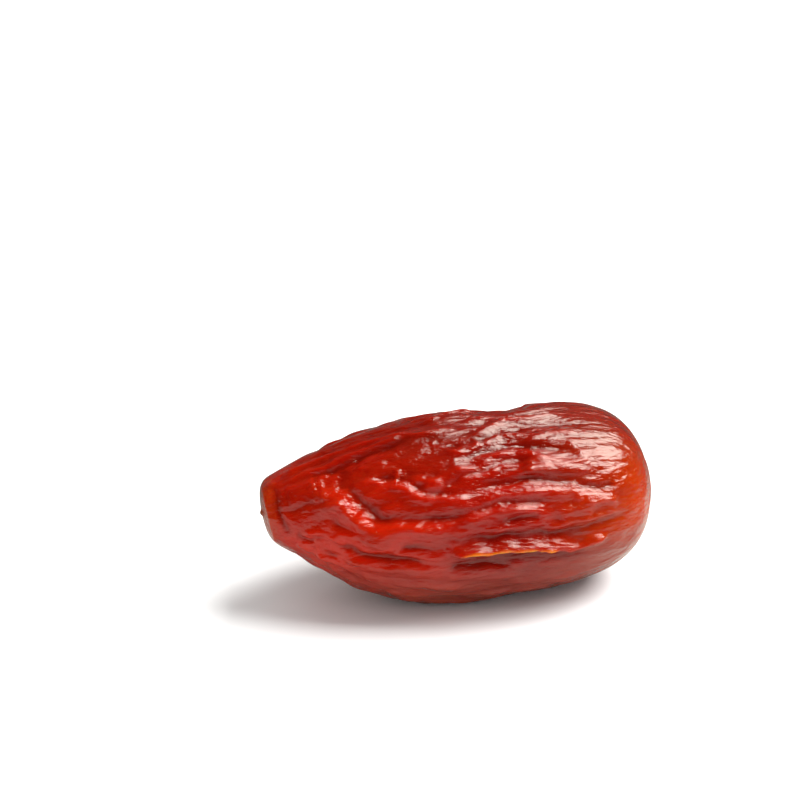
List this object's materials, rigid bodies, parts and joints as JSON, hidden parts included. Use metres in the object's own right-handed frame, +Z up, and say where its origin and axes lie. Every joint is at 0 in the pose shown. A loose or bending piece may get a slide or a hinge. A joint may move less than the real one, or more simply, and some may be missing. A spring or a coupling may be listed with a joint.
{
  "type": "date fruit",
  "caption": "Wrinkled oval dried fruit lying on its side, with a narrow blunt blossom tip at one end and a broad rounded stem end with a shallow round scar at the other.",
  "frame": {"origin": "middle of the footprint, on the surface that the fruit rests on", "axes": "+X from the blossom tip to the stem end, along the fruit; -Y towards the side that the picture shows; +Z up as the fruit lies"},
  "size_m": [0.0412, 0.0218, 0.0195],
  "materials": {
    "date_skin": "glossy, wrinkled, slightly translucent dark red-brown skin"
  },
  "bodies": {
    "root": {"date_fruit": "date_skin"}
  },
  "joints": []
}
